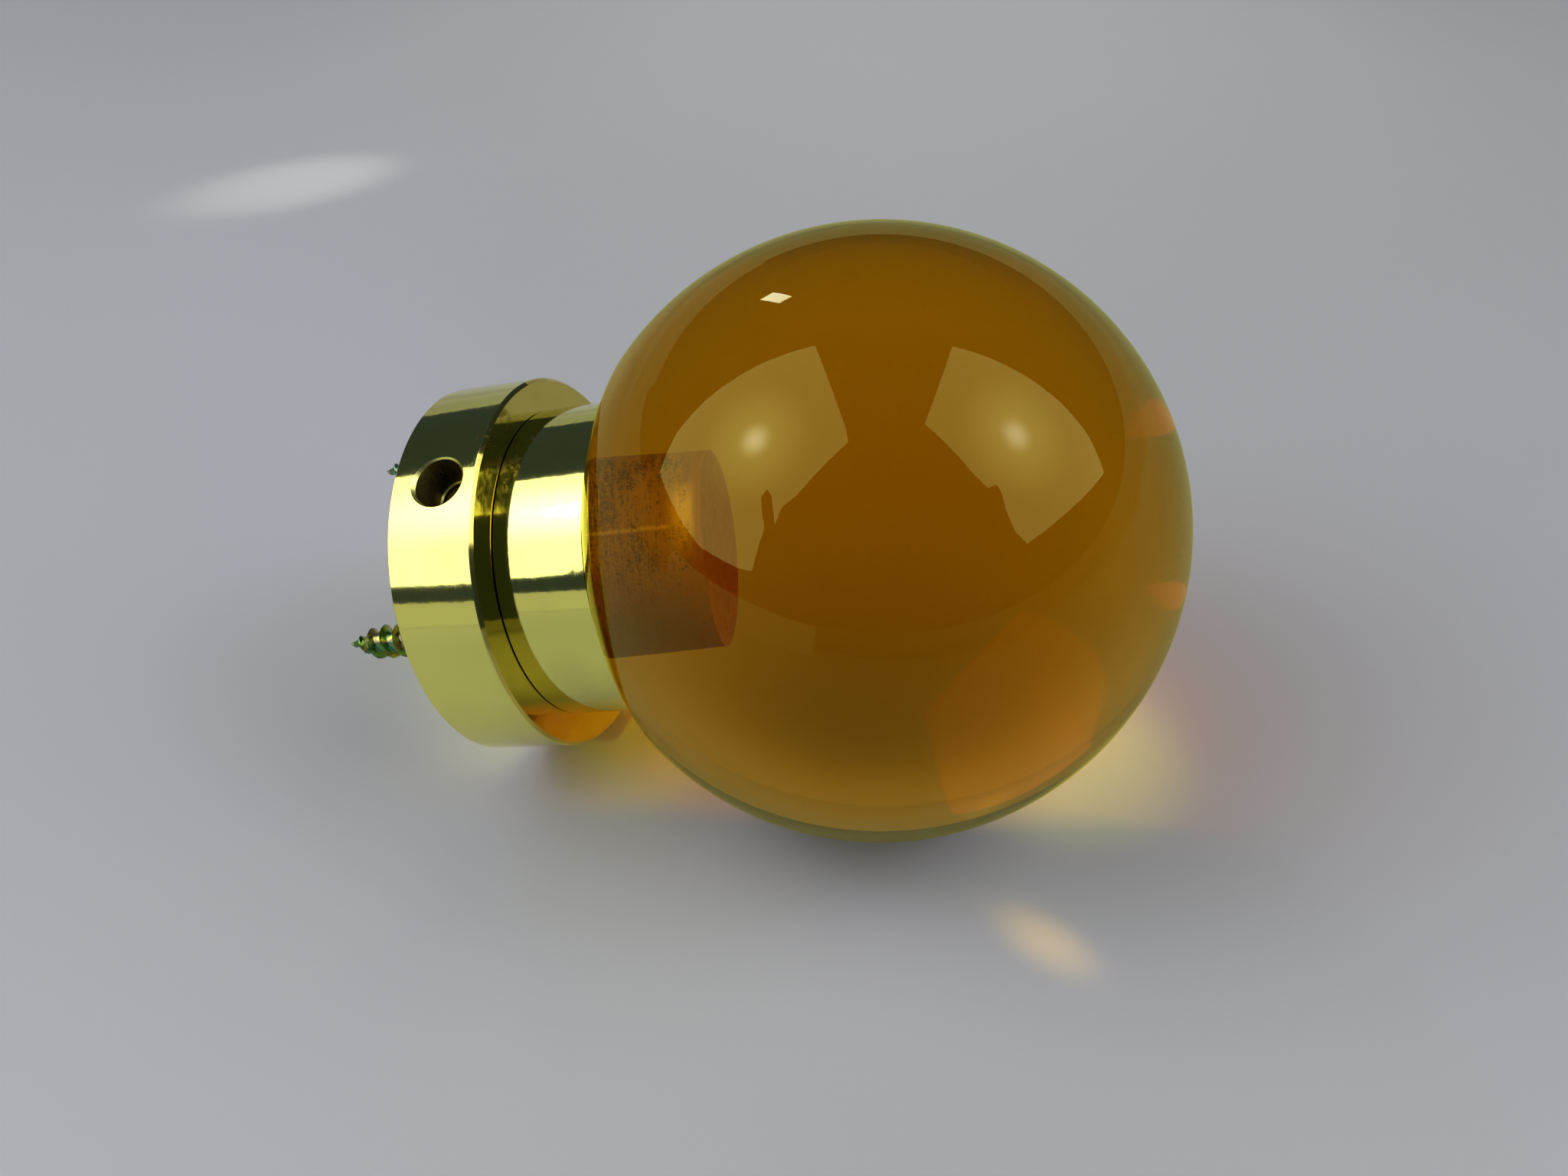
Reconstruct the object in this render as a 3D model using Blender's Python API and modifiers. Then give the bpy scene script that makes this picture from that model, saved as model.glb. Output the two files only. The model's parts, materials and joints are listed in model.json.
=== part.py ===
"""Ball knob: a solid amber ball on a brass neck, which plugs into a brass rosette screwed to wood.

The knob lies on a table, resting on its ball and on the rear rim of its rosette. The origin is the
centre of the rosette's mounting face, +X runs level towards the ball and +Z is up. Every turned
piece is drawn on one empty, whose +Z is the knob's own axis, from the mounting face to the ball.
"""

import math

import bmesh
import bpy

MM = 0.001

# Fits
GAP = 0.3 * MM  # between pieces that rest on each other
CUT_PAST = 1.0 * MM  # how far a cutter stands out of what it cuts

# Ball: a sphere that flattens a little towards its seat, with a blind bore
BALL_RADIUS = 38.0 * MM
SHOULDER_START = math.radians(48)  # polar angle, from the seat, where the ball leaves the sphere
SHOULDER_DROP = 1.4 * MM  # how far the seat's rim lies inside the sphere
SHOULDER_POWER = 1.3
SEAT_OVERHANG = 0.2 * MM  # the ball's seat is this much wider than the neck
BORE_RADIUS = 8.2 * MM
BORE_DEPTH = 16.6 * MM
CEMENT_WALL = 0.5 * MM

# Rosette: the thick disc that is screwed to the wood
ROSETTE_RADIUS = 25.0 * MM
ROSETTE_THICKNESS = 11.8 * MM
ROSETTE_EDGE = 0.45 * MM  # chamfer of the front rim
REAR_EDGE = 0.3 * MM  # chamfer of the rear rim
WEB_THICKNESS = 3.0 * MM  # floor left under the socket
SOCKET_RADIUS = 9.0 * MM
SOCKET_CHAMFER = 0.4 * MM

# Neck: the collar, with a spigot that plugs into the rosette's socket
NECK_RADIUS = 20.7 * MM
NECK_LENGTH = 11.74 * MM
NECK_EDGE = 0.2 * MM
SPIGOT_CHAMFER = 0.5 * MM

# Wood screws: 4.5 mm chipboard screws on a circle, heads sunk below the rosette's face
WOOD_SCREW_COUNT = 3
WOOD_SCREW_CIRCLE = 15.1 * MM
WOOD_SCREW_LENGTH = 25.0 * MM
WOOD_THREAD_RADIUS = 2.25 * MM
WOOD_CORE_RADIUS = 1.45 * MM
WOOD_PITCH = 2.0 * MM
WOOD_ROOT_AT = 0.15  # where a ridge of the thread starts and peaks, as shares of the pitch
WOOD_CREST_AT = 0.5
WOOD_TIP_LENGTH = 4.5 * MM
WOOD_SHANK_LENGTH = 2.0 * MM
WOOD_HEAD_RADIUS = 4.2 * MM
WOOD_HEAD_RIM = 0.5 * MM
WOOD_HEAD_SUNK = 2.74 * MM  # from the rosette's face to the head
WOOD_CROSS_WIDTH = 1.1 * MM
WOOD_CROSS_LENGTH = 4.6 * MM
WOOD_CROSS_DEPTH = 1.5 * MM

# Grub screw: an M5 socket set screw, deep in a hole in the rosette's side
GRUB_FROM_FACE = 5.4 * MM  # the hole's axis, from the rosette's front face
GRUB_FROM_UP = math.radians(26.5)  # the hole's direction, from straight up towards the front
GRUB_THREAD_RADIUS = 2.5 * MM
GRUB_LENGTH = 10.0 * MM
GRUB_CHAMFER = 0.5 * MM
GRUB_KEY = 2.5 * MM  # across the flats of its socket
GRUB_KEY_DEPTH = 3.0 * MM
ACCESS_RADIUS = 3.2 * MM  # the plain outer part of the hole
ACCESS_DEPTH = 5.0 * MM
ACCESS_CHAMFER = 0.45 * MM

# Centre screw: an M6 countersunk screw, through the neck into the ball's insert
CENTRE_SCREW_LENGTH = 30.0 * MM
CENTRE_SCREW_RADIUS = 3.0 * MM
CENTRE_HEAD_RADIUS = 5.6 * MM
CENTRE_HEAD_RIM = 0.4 * MM
CENTRE_HEAD_SUNK = 0.15 * MM
CENTRE_KEY = 4.0 * MM
CENTRE_KEY_DEPTH = 2.0 * MM
CENTRE_SCREW_SPACE = 2.5 * MM  # of the insert's hole, past the screw's end

# Facets round the axis
ROUND_LARGE = 60
ROUND_MEDIUM = 32
ROUND_SMALL = 20
ROUND_SCREW = 16
BALL_STEPS = 26

# Heights on the knob's axis, from the mounting face
FACE = ROSETTE_THICKNESS
NECK_START = FACE + GAP
NECK_END = NECK_START + NECK_LENGTH
SEAT = NECK_END + GAP
SEAT_RADIUS = NECK_RADIUS + SEAT_OVERHANG
SEAT_TO_CENTRE = math.sqrt((BALL_RADIUS - SHOULDER_DROP) ** 2 - SEAT_RADIUS**2)
BALL_CENTRE = SEAT + SEAT_TO_CENTRE
SPIGOT_RADIUS = SOCKET_RADIUS - GAP
SPIGOT_END = WEB_THICKNESS + GAP

# The lie on the table: the rear rim and the ball touch the same level
REST_LENGTH = BALL_CENTRE - REAR_EDGE
TILT = math.asin(BALL_RADIUS / math.hypot(REST_LENGTH, ROSETTE_RADIUS)) - math.atan2(
    ROSETTE_RADIUS, REST_LENGTH
)

POLISHED_BRASS = ("polished_brass", (0.78, 0.70, 0.30), 0.12, 1.0)
ZINC_YELLOW = ("yellow_zinc", (0.55, 0.52, 0.18), 0.30, 1.0)
BLACK_OXIDE = ("black_oxide_steel", (0.10, 0.10, 0.09), 0.40, 1.0)
STEEL = ("plain_steel", (0.55, 0.55, 0.55), 0.35, 1.0)
CEMENT = ("cement", (0.35, 0.16, 0.04), 0.60, 0.0)
AMBER = ("amber_resin", (0.62, 0.32, 0.01), 0.05, 0.0)


def clear_scene():
    for old in list(bpy.data.objects):
        bpy.data.objects.remove(old, do_unlink=True)


def new_collection(name):
    made = bpy.data.collections.new(name)
    bpy.context.scene.collection.children.link(made)
    return made


def material(name, colour, roughness, metallic):
    found = bpy.data.materials.get(name)
    if found:
        return found
    made = bpy.data.materials.new(name)
    made.use_nodes = True
    made.diffuse_color = (*colour, 1.0)
    shader = made.node_tree.nodes["Principled BSDF"]
    shader.inputs["Base Color"].default_value = (*colour, 1.0)
    shader.inputs["Roughness"].default_value = roughness
    shader.inputs["Metallic"].default_value = metallic
    return made


def empty(name, parent=None, location=(0, 0, 0), rotation=(0, 0, 0)):
    made = bpy.data.objects.new(name, None)
    made.parent = parent
    made.location = location
    made.rotation_euler = rotation
    parts.objects.link(made)
    return made


def turned(name, profile, segments, finish, parent, closed=False, location=(0, 0, 0)):
    """A turned piece: (radius, height) points, down the outer side and round to the start."""
    mesh = bpy.data.meshes.new(name)
    last = len(profile) - 1
    edges = [(i, i + 1) for i in range(last)] + ([(last, 0)] if closed else [])
    mesh.from_pydata([(radius, 0, height) for radius, height in profile], edges, [])
    made = bpy.data.objects.new(name, mesh)
    parts.objects.link(made)
    made.parent = parent
    made.location = location
    screw = made.modifiers.new("turn", "SCREW")
    screw.axis = "Z"
    screw.angle = math.tau
    screw.steps = segments
    screw.render_steps = segments
    screw.use_merge_vertices = True
    screw.merge_threshold = 1e-6
    screw.use_smooth_shade = False
    if finish:
        mesh.materials.append(material(*finish))
    return made


def as_cutter(made):
    parts.objects.unlink(made)
    cutters.objects.link(made)
    made.hide_render = True
    made.display_type = "WIRE"
    return made


def cut(piece, cutter):
    boolean = piece.modifiers.new("cut_" + cutter.name, "BOOLEAN")
    boolean.operation = "DIFFERENCE"
    boolean.solver = "EXACT"
    boolean.object = cutter


def box_cutter(name, size, centre, parent, turn=0.0):
    mesh = bpy.data.meshes.new(name)
    shape = bmesh.new()
    bmesh.ops.create_cube(shape, size=1.0)
    bmesh.ops.scale(shape, vec=size, verts=shape.verts)
    shape.to_mesh(mesh)
    shape.free()
    made = bpy.data.objects.new(name, mesh)
    parts.objects.link(made)
    made.parent = parent
    made.location = centre
    made.rotation_euler = (0, 0, turn)
    return as_cutter(made)


def hex_cutter(name, across_flats, low, high, parent):
    corner = across_flats / math.sqrt(3)
    return as_cutter(turned(name, [(0, high), (corner, high), (corner, low), (0, low)], 6, None, parent))


def ball_profile():
    """From the far pole down the sphere and the shoulder, over the seat and up the bore."""
    seat_angle = math.atan2(SEAT_RADIUS, SEAT_TO_CENTRE)
    points = []
    for step in range(BALL_STEPS + 1):
        from_pole = (math.pi - seat_angle) * step / BALL_STEPS
        from_seat = math.pi - from_pole
        reach = max(0.0, (SHOULDER_START - from_seat) / (SHOULDER_START - seat_angle))
        radius = BALL_RADIUS - SHOULDER_DROP * reach**SHOULDER_POWER
        points.append((radius * math.sin(from_pole), BALL_CENTRE + radius * math.cos(from_pole)))
    points[0] = (0, BALL_CENTRE + BALL_RADIUS)
    return points + [(BORE_RADIUS, SEAT), (BORE_RADIUS, SEAT + BORE_DEPTH), (0, SEAT + BORE_DEPTH)]


def countersunk(head_radius, core_radius, rim, head_top):
    """Heights of a 90 degree head's rim and cone end, below its top."""
    rim_low = head_top - rim
    return rim_low, rim_low - (head_radius - core_radius)


def make_rosette(axis):
    return turned(
        "rosette",
        [
            (0, WEB_THICKNESS),
            (SOCKET_RADIUS, WEB_THICKNESS),
            (SOCKET_RADIUS, FACE - SOCKET_CHAMFER),
            (SOCKET_RADIUS + SOCKET_CHAMFER, FACE),
            (ROSETTE_RADIUS - ROSETTE_EDGE, FACE),
            (ROSETTE_RADIUS, FACE - ROSETTE_EDGE),
            (ROSETTE_RADIUS, REAR_EDGE),
            (ROSETTE_RADIUS - REAR_EDGE, 0),
            (0, 0),
        ],
        ROUND_LARGE,
        POLISHED_BRASS,
        axis,
    )


def wood_screw_seat(number, place):
    """The hole for one wood screw: clearance, countersink and the well above the head."""
    head_top = FACE - WOOD_HEAD_SUNK
    rim_low, _ = countersunk(WOOD_HEAD_RADIUS, WOOD_CORE_RADIUS, WOOD_HEAD_RIM, head_top)
    well = WOOD_HEAD_RADIUS + GAP
    hole = WOOD_THREAD_RADIUS + GAP
    cone_top = rim_low + GAP - GAP * math.sqrt(2)
    return as_cutter(
        turned(
            f"screw_hole_{number}",
            [
                (0, FACE + CUT_PAST),
                (well, FACE + CUT_PAST),
                (well, cone_top),
                (hole, cone_top - (well - hole)),
                (hole, -CUT_PAST),
                (0, -CUT_PAST),
            ],
            ROUND_SMALL,
            None,
            place,
        )
    )


def wood_thread_profile(top, tip):
    """Ridges of the thread, one to a pitch, tapering into the point."""
    points = []
    height = top
    while height - WOOD_PITCH > tip:
        for radius, drop in ((WOOD_CORE_RADIUS, WOOD_ROOT_AT), (WOOD_THREAD_RADIUS, WOOD_CREST_AT)):
            at = height - drop * WOOD_PITCH
            taper = min(1.0, (at - tip) / WOOD_TIP_LENGTH)
            points.append((radius * taper, at))
        height -= WOOD_PITCH
    return points + [(0, tip)]


def make_wood_screw(number, place):
    head_top = FACE - WOOD_HEAD_SUNK
    tip = head_top - WOOD_SCREW_LENGTH
    rim_low, cone_low = countersunk(WOOD_HEAD_RADIUS, WOOD_CORE_RADIUS, WOOD_HEAD_RIM, head_top)
    profile = [(0, head_top), (WOOD_HEAD_RADIUS, head_top), (WOOD_HEAD_RADIUS, rim_low)]
    profile += [(WOOD_CORE_RADIUS, cone_low)]
    profile += wood_thread_profile(cone_low - WOOD_SHANK_LENGTH, tip)
    screw = turned(f"wood_screw_{number}", profile, ROUND_SCREW, ZINC_YELLOW, place)
    for arm, turn in (("a", math.pi / 4), ("b", -math.pi / 4)):
        size = (WOOD_CROSS_LENGTH, WOOD_CROSS_WIDTH, 2 * WOOD_CROSS_DEPTH)
        name = f"cross_{number}{arm}"
        cut(screw, box_cutter(name, size, (0, 0, head_top), place, turn))
    return screw


def make_access_hole(radial):
    """The hole in the rosette's side, on an empty whose +Z points out of it."""
    step = ROSETTE_RADIUS - ACCESS_DEPTH
    wall = math.sqrt(ROSETTE_RADIUS**2 - ACCESS_RADIUS**2)
    mouth = ACCESS_RADIUS + ACCESS_CHAMFER + (ROSETTE_RADIUS - wall)
    return as_cutter(
        turned(
            "access_hole",
            [
                (0, ROSETTE_RADIUS + CUT_PAST),
                (mouth + CUT_PAST, ROSETTE_RADIUS + CUT_PAST),
                (ACCESS_RADIUS, wall - ACCESS_CHAMFER),
                (ACCESS_RADIUS, step),
                (GRUB_THREAD_RADIUS, step),
                (GRUB_THREAD_RADIUS, SOCKET_RADIUS / 2),
                (0, SOCKET_RADIUS / 2),
            ],
            ROUND_SMALL,
            None,
            radial,
        )
    )


def make_grub_screw(radial):
    radius = GRUB_THREAD_RADIUS - GAP
    low = SOCKET_RADIUS
    high = low + GRUB_LENGTH
    screw = turned(
        "grub_screw",
        [
            (0, high),
            (radius - GRUB_CHAMFER, high),
            (radius, high - GRUB_CHAMFER),
            (radius, low + GRUB_CHAMFER),
            (radius - GRUB_CHAMFER, low),
            (0, low),
        ],
        ROUND_SMALL,
        BLACK_OXIDE,
        radial,
    )
    key_end = high + CUT_PAST
    cut(screw, hex_cutter("grub_key", GRUB_KEY, high - GRUB_KEY_DEPTH, key_end, radial))
    return screw


def centre_screw_heights():
    """The head's flat end, the rim and the cone's end, which point down into the rosette."""
    head_end = SPIGOT_END + CENTRE_HEAD_SUNK
    rim = head_end + CENTRE_HEAD_RIM
    return head_end, rim, rim + (CENTRE_HEAD_RADIUS - CENTRE_SCREW_RADIUS)


def make_neck(axis):
    _, rim, _ = centre_screw_heights()
    hole = CENTRE_SCREW_RADIUS + GAP
    sink = CENTRE_HEAD_RADIUS + GAP
    cone_low = rim - GAP + GAP * math.sqrt(2)
    return turned(
        "neck_collar",
        [
            (hole, NECK_END),
            (NECK_RADIUS - NECK_EDGE, NECK_END),
            (NECK_RADIUS, NECK_END - NECK_EDGE),
            (NECK_RADIUS, NECK_START + NECK_EDGE),
            (NECK_RADIUS - NECK_EDGE, NECK_START),
            (SPIGOT_RADIUS, NECK_START),
            (SPIGOT_RADIUS, SPIGOT_END + SPIGOT_CHAMFER),
            (SPIGOT_RADIUS - SPIGOT_CHAMFER, SPIGOT_END),
            (sink, SPIGOT_END),
            (sink, cone_low),
            (hole, cone_low + (sink - hole)),
        ],
        ROUND_LARGE,
        POLISHED_BRASS,
        axis,
        closed=True,
    )


def make_centre_screw(axis):
    head_end, rim, cone_end = centre_screw_heights()
    screw = turned(
        "centre_screw",
        [
            (0, head_end + CENTRE_SCREW_LENGTH),
            (CENTRE_SCREW_RADIUS - GAP, head_end + CENTRE_SCREW_LENGTH),
            (CENTRE_SCREW_RADIUS, head_end + CENTRE_SCREW_LENGTH - GAP),
            (CENTRE_SCREW_RADIUS, cone_end),
            (CENTRE_HEAD_RADIUS, rim),
            (CENTRE_HEAD_RADIUS, head_end),
            (0, head_end),
        ],
        ROUND_SMALL,
        STEEL,
        axis,
    )
    key_low = head_end - CENTRE_HEAD_SUNK
    cut(screw, hex_cutter("centre_key", CENTRE_KEY, key_low, head_end + CENTRE_KEY_DEPTH, axis))
    return screw


def make_insert(axis):
    radius = BORE_RADIUS - GAP - CEMENT_WALL - GAP
    end = SEAT + BORE_DEPTH - GAP - CEMENT_WALL - GAP
    hole = CENTRE_SCREW_RADIUS + GAP
    head_end, _, _ = centre_screw_heights()
    hole_end = head_end + CENTRE_SCREW_LENGTH + CENTRE_SCREW_SPACE
    return turned(
        "ball_insert",
        [(0, end), (radius, end), (radius, SEAT), (hole, SEAT), (hole, hole_end), (0, hole_end)],
        ROUND_MEDIUM,
        POLISHED_BRASS,
        axis,
    )


def make_cement(axis):
    outer = BORE_RADIUS - GAP
    inner = outer - CEMENT_WALL
    end = SEAT + BORE_DEPTH - GAP
    return turned(
        "cement_sleeve",
        [
            (0, end),
            (outer, end),
            (outer, SEAT),
            (inner, SEAT),
            (inner, end - CEMENT_WALL),
            (0, end - CEMENT_WALL),
        ],
        ROUND_MEDIUM,
        CEMENT,
        axis,
    )


def make_ball(axis):
    ball = turned("amber_ball", ball_profile(), ROUND_LARGE, AMBER, axis)
    ball.modifiers["turn"].use_smooth_shade = True
    return ball


clear_scene()
parts = new_collection("ball_knob")
cutters = new_collection("cutters")

# +Z of this empty is the knob's axis, and its -X is uppermost
knob_axis = empty("knob_axis", rotation=(0, math.pi / 2 - TILT, 0))

rosette_disc = make_rosette(knob_axis)
grub_turn = math.pi + GRUB_FROM_UP
radial_empty = empty(
    "grub_axis",
    knob_axis,
    location=(0, 0, FACE - GRUB_FROM_FACE),
    rotation=(0, math.pi / 2, grub_turn),
)
cut(rosette_disc, make_access_hole(radial_empty))
make_grub_screw(radial_empty)

for index in range(WOOD_SCREW_COUNT):
    # the side hole lies halfway between two wood screws
    angle = grub_turn + (index + 0.5) * math.tau / WOOD_SCREW_COUNT
    spot = (WOOD_SCREW_CIRCLE * math.cos(angle), WOOD_SCREW_CIRCLE * math.sin(angle), 0)
    screw_axis = empty(f"screw_axis_{index + 1}", knob_axis, location=spot)
    cut(rosette_disc, wood_screw_seat(index + 1, screw_axis))
    make_wood_screw(index + 1, screw_axis)

make_neck(knob_axis)
make_centre_screw(knob_axis)
make_insert(knob_axis)
make_cement(knob_axis)
make_ball(knob_axis)
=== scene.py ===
# %% [markdown]
# # A ball knob in amber resin and brass
# A solid amber ball sits on a short brass neck, and the neck plugs into a thick brass rosette.
# Three wood screws hold the rosette, and a grub screw in its side holds the neck.
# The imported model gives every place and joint. This script makes what the eye sees: round
# pieces with smooth outlines, real threads, clear resin, polished metal, a table and its lamps.

# %% Load the fixed frame
import json
import math

import bpy
import numpy as np
from mathutils import Matrix, Vector

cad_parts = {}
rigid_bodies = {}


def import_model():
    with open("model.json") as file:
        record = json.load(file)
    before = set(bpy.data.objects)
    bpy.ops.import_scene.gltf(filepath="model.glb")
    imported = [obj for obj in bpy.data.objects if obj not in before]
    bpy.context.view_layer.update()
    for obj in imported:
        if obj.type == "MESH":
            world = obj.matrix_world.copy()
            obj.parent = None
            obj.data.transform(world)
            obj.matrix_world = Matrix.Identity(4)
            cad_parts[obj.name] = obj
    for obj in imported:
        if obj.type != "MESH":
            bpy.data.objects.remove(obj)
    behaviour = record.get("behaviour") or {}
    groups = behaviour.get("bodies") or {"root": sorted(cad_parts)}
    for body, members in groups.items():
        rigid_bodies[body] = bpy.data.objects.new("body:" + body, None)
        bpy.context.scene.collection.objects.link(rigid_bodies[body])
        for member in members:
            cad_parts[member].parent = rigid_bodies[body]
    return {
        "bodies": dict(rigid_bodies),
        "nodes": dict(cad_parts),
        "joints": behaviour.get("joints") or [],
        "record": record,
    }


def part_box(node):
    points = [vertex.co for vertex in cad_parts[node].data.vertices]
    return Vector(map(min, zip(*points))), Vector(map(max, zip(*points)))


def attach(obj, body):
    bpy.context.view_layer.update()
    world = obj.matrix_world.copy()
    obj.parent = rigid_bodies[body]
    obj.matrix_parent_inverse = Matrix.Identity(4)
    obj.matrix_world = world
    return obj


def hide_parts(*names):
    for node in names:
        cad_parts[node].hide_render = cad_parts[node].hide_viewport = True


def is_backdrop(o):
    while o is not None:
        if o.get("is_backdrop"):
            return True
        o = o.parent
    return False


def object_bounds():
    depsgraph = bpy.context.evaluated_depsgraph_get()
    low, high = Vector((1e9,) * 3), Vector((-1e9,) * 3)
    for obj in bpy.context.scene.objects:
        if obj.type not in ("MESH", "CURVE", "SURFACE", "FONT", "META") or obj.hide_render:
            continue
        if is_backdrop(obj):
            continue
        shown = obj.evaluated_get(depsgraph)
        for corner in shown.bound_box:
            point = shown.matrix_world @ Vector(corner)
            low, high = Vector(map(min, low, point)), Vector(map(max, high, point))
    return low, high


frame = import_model()
cad_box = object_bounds()
cad_size = cad_box[1] - cad_box[0]
print("the object measures, in mm:", [round(side * 1000, 1) for side in cad_size])

# %% [markdown]
# ## The knob's own axis
# The knob lies on its ball and on the rim of its rosette, so its axis is tilted. Everything round
# is drawn upright, on an axis that starts at the mounting face, and is then turned into place.
# The mounting face and the joints say where that axis runs, so nothing is fitted by eye.

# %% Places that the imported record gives
MM = 0.001

record = frame["record"]
mount = record["mounts"][0]
axis = -Vector(mount["axis"]).normalized()
across = Vector((0, 1, 0))
TO_ROW = Matrix((across.cross(axis), across, axis)).transposed()
TILT = math.asin(axis.z)

joints = {joint["name"]: joint for joint in frame["joints"]}
screw_names = sorted(name for name in frame["bodies"] if name.startswith("wood_screw"))
screw_spots = {
    name: TO_ROW.transposed() @ Vector(joints[name + "_turn"]["pos_m"]) for name in screw_names
}
hole_way = TO_ROW.transposed() @ Vector(joints["grub_screw_back_out"]["axis"])
print("tilt of the axis:", round(math.degrees(TILT), 2), "degrees")
for name, spot in screw_spots.items():
    print(name, "stands at, in mm:", [round(value * 1000, 2) for value in spot])

# %% [markdown]
# ## Sizes
# A turned piece is a list of radii and heights, so its sizes come first. They are those of the
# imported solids, apart from the seams, which are drawn as thin as they look on polished metal.

# %% Sizes of the pieces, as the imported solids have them
ball_low, ball_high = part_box("amber_ball")
BALL_RADIUS = (ball_high.y - ball_low.y) / 2
GAP = 0.3 * MM  # between pieces that rest on each other

ROSETTE_RADIUS = 25.0 * MM
FACE = 11.8 * MM  # height of the rosette's front face
ROSETTE_EDGE = 0.45 * MM
REAR_EDGE = 0.3 * MM
WEB_THICKNESS = 3.0 * MM
SOCKET_RADIUS = 9.0 * MM
SOCKET_CHAMFER = 0.4 * MM

NECK_RADIUS = 20.7 * MM
SEAM = 0.12 * MM  # the thin dark line between two polished pieces
NECK_START = FACE + SEAM
NECK_END = FACE + GAP + 11.74 * MM + GAP - SEAM
NECK_EDGE = 0.2 * MM
NECK_START_EDGE = 0.06 * MM
SPIGOT_RADIUS = SOCKET_RADIUS - GAP
SPIGOT_END = WEB_THICKNESS + GAP
SPIGOT_CHAMFER = 0.5 * MM

SEAT = NECK_END + SEAM
SEAT_RADIUS = NECK_RADIUS + 0.2 * MM
SHOULDER_START = math.radians(48)
SHOULDER_DROP = 1.4 * MM
SHOULDER_POWER = 1.3
SEAT_TO_CENTRE = math.sqrt((BALL_RADIUS - SHOULDER_DROP) ** 2 - SEAT_RADIUS**2)
BALL_CENTRE = SEAT + SEAT_TO_CENTRE
BORE_RADIUS = 8.2 * MM
BORE_DEPTH = 16.6 * MM
BORE_END = SEAT + BORE_DEPTH

floor_level = cad_box[0].z
print("ball radius, in mm:", round(BALL_RADIUS * 1000, 3))
print("its middle stands along the axis at, in mm:", round(BALL_CENTRE * 1000, 2))

# %% [markdown]
# ## Arithmetic on sockets
# A node graph is arithmetic drawn with wires. One small class holds an output socket and lets
# Python's own operators add the Math nodes, so a pattern reads like a formula. Every other node
# comes from one method, which takes the node's type, its settings and its sockets' values.


# %% A socket that can be added, multiplied and compared
class Wire:
    """One output of a node, in a shader tree or a geometry tree."""

    def __init__(self, tree, socket=None):
        self.tree, self.socket = tree, socket

    def node(self, kind, settings=(), sockets=(), output=0):
        made = self.tree.nodes.new(kind)
        for name, value in dict(settings).items():
            if name == "stops":
                set_stops(made.color_ramp, value)
            else:
                setattr(made, name, value)
        for key, value in dict(sockets).items():
            self.feed(made.inputs[key], value)
        return Wire(self.tree, made.outputs[output] if len(made.outputs) else None)

    def feed(self, target, value):
        if isinstance(value, Wire):
            self.tree.links.new(value.socket, target)
        else:
            target.default_value = value

    def out(self, name):
        return Wire(self.tree, self.socket.node.outputs[name])

    def math(self, operation, *values):
        return self.node("ShaderNodeMath", {"operation": operation}, dict(enumerate(values)))

    def vector(self, operation, *values):
        settings = {"operation": operation}
        return self.node("ShaderNodeVectorMath", settings, dict(enumerate(values)))

    def size(self):
        """The value without its sign."""
        return self.math("ABSOLUTE", self)

    def __add__(self, other):
        return self.math("ADD", self, other)

    def __sub__(self, other):
        return self.math("SUBTRACT", self, other)

    def __rsub__(self, other):
        return self.math("SUBTRACT", other, self)

    def __mul__(self, other):
        return self.math("MULTIPLY", self, other)

    def __truediv__(self, other):
        return self.math("DIVIDE", self, other)

    def __pow__(self, other):
        return self.math("POWER", self, other)

    __radd__ = __add__
    __rmul__ = __mul__

    def ramp(self, low, high, to_low=0.0, to_high=1.0, smooth=True):
        """Runs from to_low to to_high while the value runs from low to high."""
        settings = {"interpolation_type": "SMOOTHSTEP" if smooth else "LINEAR", "clamp": True}
        sockets = {0: self, 1: low, 2: high, 3: to_low, 4: to_high}
        return self.node("ShaderNodeMapRange", settings, sockets)


def set_stops(colour_ramp, stops):
    while len(colour_ramp.elements) < len(stops):
        colour_ramp.elements.new(1.0)
    for element, (place, colour) in zip(colour_ramp.elements, stops):
        element.position = place
        element.color = (*colour, 1.0)


def mix(share, a, b):
    """Colour a where share is 0, colour b where it is 1."""
    sockets = {0: share, 6: a if isinstance(a, Wire) else (*a, 1.0)}
    sockets[7] = b if isinstance(b, Wire) else (*b, 1.0)
    return share.node("ShaderNodeMix", {"data_type": "RGBA"}, sockets, output=2)


# %% [markdown]
# ## Where a pattern lies
# Turned metal carries its marks in rings round the axis. So every metal material starts from the
# Object coordinates, turns them onto the knob's axis, and reads off the height along the axis,
# the distance from it and the angle round it.


# %% A new material, and the height, radius and angle on a turned piece
def new_material(name, constants):
    """A material whose shader has these plain values, with its shader and a first wire."""
    made = bpy.data.materials.new(name)
    made.use_nodes = True
    shader = made.node_tree.nodes["Principled BSDF"]
    for socket, value in constants.items():
        shader.inputs[socket].default_value = value
    return made, shader, Wire(made.node_tree)


def object_place(wire):
    return wire.node("ShaderNodeTexCoord").out("Object")


def on_axis(wire):
    """Object coordinates, turned so that Z runs along the knob's axis."""
    turn = (0, -(math.pi / 2 - TILT), 0)
    return wire.node("ShaderNodeMapping", {}, {"Vector": object_place(wire), "Rotation": turn})


def round_axis(place):
    """Height along the axis, radius and angle of a place."""
    parts = place.node("ShaderNodeSeparateXYZ", {}, {0: place})
    x, y, height = parts.out("X"), parts.out("Y"), parts.out("Z")
    return height, (x * x + y * y) ** 0.5, y.math("ARCTAN2", y, x)


def noise(place, scale, detail=2.0, roughness=0.5):
    sockets = {"Vector": place, "Scale": scale, "Detail": detail, "Roughness": roughness}
    return place.node("ShaderNodeTexNoise", {}, sockets)


def bumps(height, distance):
    sockets = {"Height": height, "Distance": distance, "Strength": 1.0}
    return height.node("ShaderNodeBump", {}, sockets)


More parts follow.
